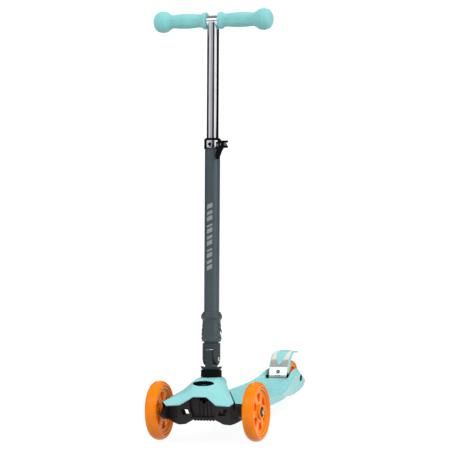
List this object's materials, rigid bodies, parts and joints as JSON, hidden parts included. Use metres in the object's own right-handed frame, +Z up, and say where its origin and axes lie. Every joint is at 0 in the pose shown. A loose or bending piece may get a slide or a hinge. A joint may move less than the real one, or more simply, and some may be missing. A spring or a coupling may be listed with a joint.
{
  "type": "kick scooter",
  "caption": "Child's three-wheeled kick scooter that leans to steer, with a moulded deck, folding stem, telescoping T-bar, sprung rear fender brake and soft grips.",
  "frame": {"origin": "on the ground, under the centre of the outline (middle of the length and the width)", "axes": "+Z up, -Y the way the scooter rides, +X the rider's left"},
  "size_m": [0.254, 0.595, 0.8586],
  "materials": {
    "mint_plastic": "moulded mint polypropylene with a soft sheen",
    "mint_rubber": "soft mint thermoplastic rubber with moulded hollows and ridges",
    "orange_tyre": "clear glossy orange polyurethane",
    "orange_core": "clear orange moulded core",
    "black_plastic": "satin black glass-filled nylon",
    "grey_plastic": "satin slate grey nylon",
    "grey_paint": "satin slate grey powder coat with a pale printed pattern",
    "chrome": "bright chrome plate",
    "white_plate": "white coated steel",
    "grey_pad": "pale grey textured rubber, darker at its lower end",
    "steel": "zinc-plated steel"
  },
  "bodies": {
    "deck": {"deck": "mint_plastic", "front_hood": "mint_plastic", "hood_oval_insert": "black_plastic", "nose_mount": "black_plastic", "kingpin": "steel", "kingpin_nut": "steel", "steer_bush": "black_plastic", "base_ring": "black_plastic", "hinge_base": "grey_plastic", "rear_axle": "steel", "rear_axle_nut": "steel", "rear_spacer_left": "steel", "rear_spacer_right": "steel", "brake_hinge_pin": "steel", "brake_bush_left": "black_plastic", "brake_bush_right": "black_plastic", "brake_spring": "steel"},
    "truck": {"truck": "black_plastic", "front_axle_bolt_left": "chrome", "front_axle_bolt_right": "chrome"},
    "wheel_left": {"front_tyre_left": "orange_tyre", "front_wheel_core_left": "orange_core", "outer_bearing_left": "steel", "inner_bearing_left": "steel", "bearing_spacer_left": "steel"},
    "wheel_right": {"front_tyre_right": "orange_tyre", "front_wheel_core_right": "orange_core", "outer_bearing_right": "steel", "inner_bearing_right": "steel", "bearing_spacer_right": "steel"},
    "wheel_rear": {"rear_tyre": "orange_tyre", "rear_wheel_core": "orange_core", "rear_bearing_left": "steel", "rear_bearing_right": "steel", "rear_bearing_spacer": "steel"},
    "brake": {"brake_fender": "mint_plastic", "fender_pad": "grey_pad", "brake_plate": "white_plate", "plate_rivet": "steel"},
    "stem": {"hinge_head": "grey_plastic", "fold_bolt": "chrome", "fold_nut": "chrome", "outer_tube": "grey_paint", "guide_bush": "black_plastic", "clamp_collar": "chrome", "clamp_bolt": "steel", "clamp_nut": "steel", "lock_spring": "steel"},
    "sleeve": {"lock_sleeve": "grey_plastic", "sleeve_bolt": "chrome", "lock_plunger": "steel"},
    "lever": {"clamp_lever": "black_plastic"},
    "button": {"height_button": "black_plastic"},
    "handlebar": {"handlebar": "chrome", "grip_left": "mint_rubber", "grip_right": "mint_rubber", "tube_foot": "black_plastic", "height_detent": "steel"}
  },
  "joints": [
    {"name": "truck_steer", "type": "hinge", "parent": "deck", "child": "truck", "pos_m": [0, -0.2545, 0.12], "axis": [0, -0.3746, 0.9272], "range_deg": [-10, 10], "stiffness_Nm_per_rad": 30},
    {"name": "wheel_left_spin", "type": "hinge", "parent": "truck", "child": "wheel_left", "pos_m": [0.10325, -0.2375, 0.06], "axis": [1, 0, 0], "continuous": true},
    {"name": "wheel_right_spin", "type": "hinge", "parent": "truck", "child": "wheel_right", "pos_m": [-0.10325, -0.2375, 0.06], "axis": [1, 0, 0], "continuous": true},
    {"name": "wheel_rear_spin", "type": "hinge", "parent": "deck", "child": "wheel_rear", "pos_m": [0, 0.2575, 0.04], "axis": [1, 0, 0], "continuous": true},
    {"name": "brake_press", "type": "hinge", "parent": "deck", "child": "brake", "pos_m": [0, 0.211, 0.0505], "axis": [-1, 0, 0], "range_deg": [0, 12], "stiffness_Nm_per_rad": 0.6, "springref_deg": -11.46},
    {"name": "stem_fold", "type": "hinge", "parent": "deck", "child": "stem", "pos_m": [0, -0.20018, 0.16051], "axis": [-1, 0, 0], "range_deg": [0, 80]},
    {"name": "sleeve_lift", "type": "slide", "parent": "stem", "child": "sleeve", "axis": [0, 0.1633, 0.9866], "range_m": [0, 0.012], "stiffness_N_per_m": 400, "deforming": ["lock_spring"]},
    {"name": "lever_open", "type": "hinge", "parent": "stem", "child": "lever", "pos_m": [0.0305, -0.14192, 0.58956], "axis": [0, 0.1633, 0.9866], "range_deg": [0, 110]},
    {"name": "button_press", "type": "slide", "parent": "stem", "child": "button", "axis": [0, 0.9866, -0.1633], "range_m": [0, 0.0025], "stiffness_N_per_m": 300},
    {"name": "bar_height", "type": "slide", "parent": "stem", "child": "handlebar", "axis": [0, 0.1633, 0.9866], "range_m": [-0.19, 0]}
  ]
}
